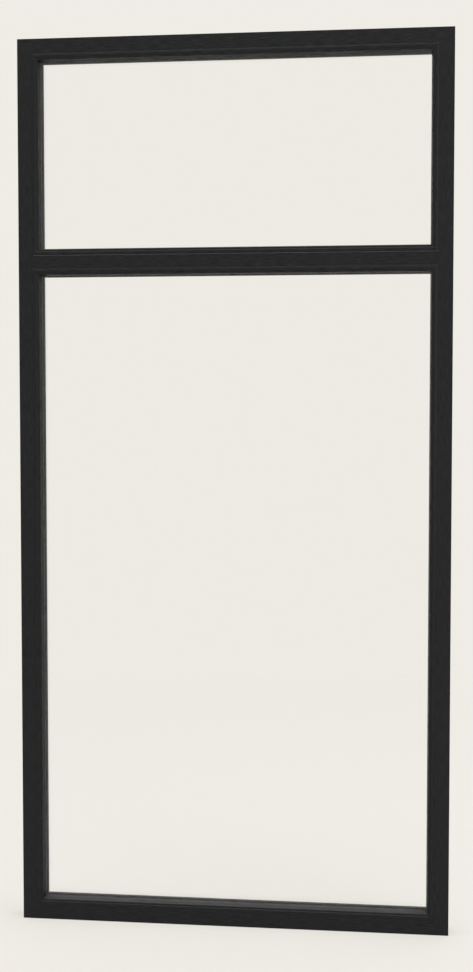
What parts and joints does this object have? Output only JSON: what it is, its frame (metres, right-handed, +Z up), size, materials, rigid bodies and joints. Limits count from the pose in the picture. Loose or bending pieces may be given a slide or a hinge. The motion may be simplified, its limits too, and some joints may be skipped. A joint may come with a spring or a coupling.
{
  "type": "fixed picture window",
  "caption": "Tall fixed window with a short fixed light over a tall one, in a black welded frame with a transom, rounded glazing beads and sealed double glazing.",
  "frame": {"origin": "middle of the sill's underside, half way through the frame's depth", "axes": "+X to the right seen from the bead side, +Y from the bead side to the weather side, +Z up"},
  "size_m": [1.2, 0.0752, 2.47],
  "materials": {
    "foil": "satin black foil with a fine wood-grain emboss along each member",
    "gasket": "matt black glazing rubber",
    "glass": "clear float glass",
    "spacer": "matt dark grey warm-edge spacer",
    "edge_seal": "black sealant",
    "block": "dark grey moulded plastic",
    "cap": "satin black moulded plastic"
  },
  "bodies": {
    "root": {"head": "foil", "sill": "foil", "left_jamb": "foil", "right_jamb": "foil", "transom": "foil", "sill_drain_caps": "cap", "transom_drain_caps": "cap", "upper_left_bead": "foil", "upper_top_bead": "foil", "upper_right_bead": "foil", "upper_bottom_bead": "foil", "upper_bead_gasket": "gasket", "upper_lip_gasket": "gasket", "upper_room_pane": "glass", "upper_weather_pane": "glass", "upper_edge_seal": "edge_seal", "upper_spacer": "spacer", "upper_setting_blocks": "block", "lower_left_bead": "foil", "lower_top_bead": "foil", "lower_right_bead": "foil", "lower_bottom_bead": "foil", "lower_bead_gasket": "gasket", "lower_lip_gasket": "gasket", "lower_room_pane": "glass", "lower_weather_pane": "glass", "lower_edge_seal": "edge_seal", "lower_spacer": "spacer", "lower_setting_blocks": "block"}
  },
  "joints": []
}
